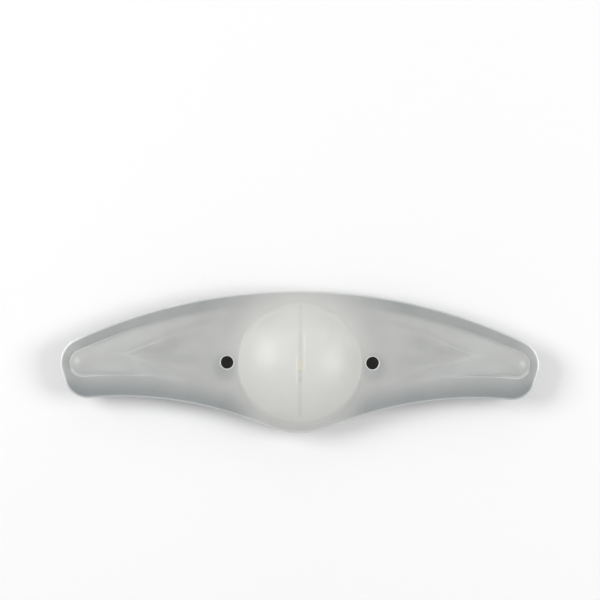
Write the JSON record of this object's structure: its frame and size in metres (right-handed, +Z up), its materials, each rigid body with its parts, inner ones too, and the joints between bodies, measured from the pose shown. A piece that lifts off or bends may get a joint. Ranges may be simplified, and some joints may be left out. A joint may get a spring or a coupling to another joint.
{
  "type": "spoke wheel light",
  "caption": "Milky wing-shaped bicycle wheel light with a round dome, raised forked tongues, spoke holes for ties, a push button and a covered charging port.",
  "frame": {"origin": "midway between the two spoke holes, on the seam between the two shells", "axes": "+X from the left tip to the right tip as seen from the domed front, +Y from the domed front to the button side, +Z up towards the long arched edge"},
  "size_m": [0.19, 0.0228, 0.0563],
  "materials": {
    "milky_shell": "satin, translucent milky polypropylene",
    "white_plastic": "matt white",
    "board": "white solder mask over glass fibre",
    "lamp_body": "ivory moulding",
    "lamp_window": "clear resin over phosphor",
    "cell_foil": "dull foil",
    "amber_tape": "amber film",
    "foam": "closed-cell foam",
    "red_wire": "soft insulation",
    "black_wire": "soft insulation",
    "solder": "bright solder",
    "steel": "tinned sheet",
    "contact_gold": "gold plate",
    "black_plastic": "moulded black",
    "soft_white": "matt silicone rubber",
    "button_grey": "satin, pale grey",
    "seal_grey": "matt rubber",
    "ceramic_tan": "fired ceramic"
  },
  "bodies": {
    "light": {"front_shell": "milky_shell", "rear_shell": "milky_shell", "reflector_plate": "white_plastic", "circuit_board": "board", "left_led": "lamp_body", "right_led": "lamp_body", "left_led_lens": "lamp_window", "right_led_lens": "lamp_window", "battery_cell": "cell_foil", "cell_header": "amber_tape", "foam_pad": "foam", "red_lead": "red_wire", "black_lead": "black_wire", "lead_joints": "solder", "usb_shell": "steel", "usb_tongue": "black_plastic", "usb_contacts": "contact_gold", "cover_anchor": "soft_white", "switch_body": "black_plastic", "switch_plate": "steel", "switch_terminals": "solder", "controller_chip": "black_plastic", "controller_pins": "solder", "charger_chip": "black_plastic", "charger_pins": "solder", "driver_transistors": "black_plastic", "driver_pins": "solder", "resistors": "black_plastic", "capacitors": "ceramic_tan", "charge_lamp": "lamp_body"},
    "button": {"button_cap": "button_grey", "button_oring": "seal_grey"},
    "plunger": {"switch_plunger": "black_plastic"},
    "cover": {"port_cover": "soft_white"}
  },
  "joints": [
    {"name": "button_press", "type": "slide", "parent": "light", "child": "button", "axis": [0, -1, 0], "range_m": [0, 0.0005], "stiffness_N_per_m": 2000},
    {"name": "plunger_press", "type": "slide", "parent": "light", "child": "plunger", "axis": [0, -1, 0], "range_m": [0, 0.0005]},
    {"name": "cover_swing", "type": "hinge", "parent": "light", "child": "cover", "pos_m": [-0.00205, 0.0089, -0.0134], "axis": [-1, 0, 0], "range_deg": [0, 110]}
  ],
  "couplings": [
    {"joint": "plunger_press", "follows": "button_press", "ratio": 1}
  ]
}
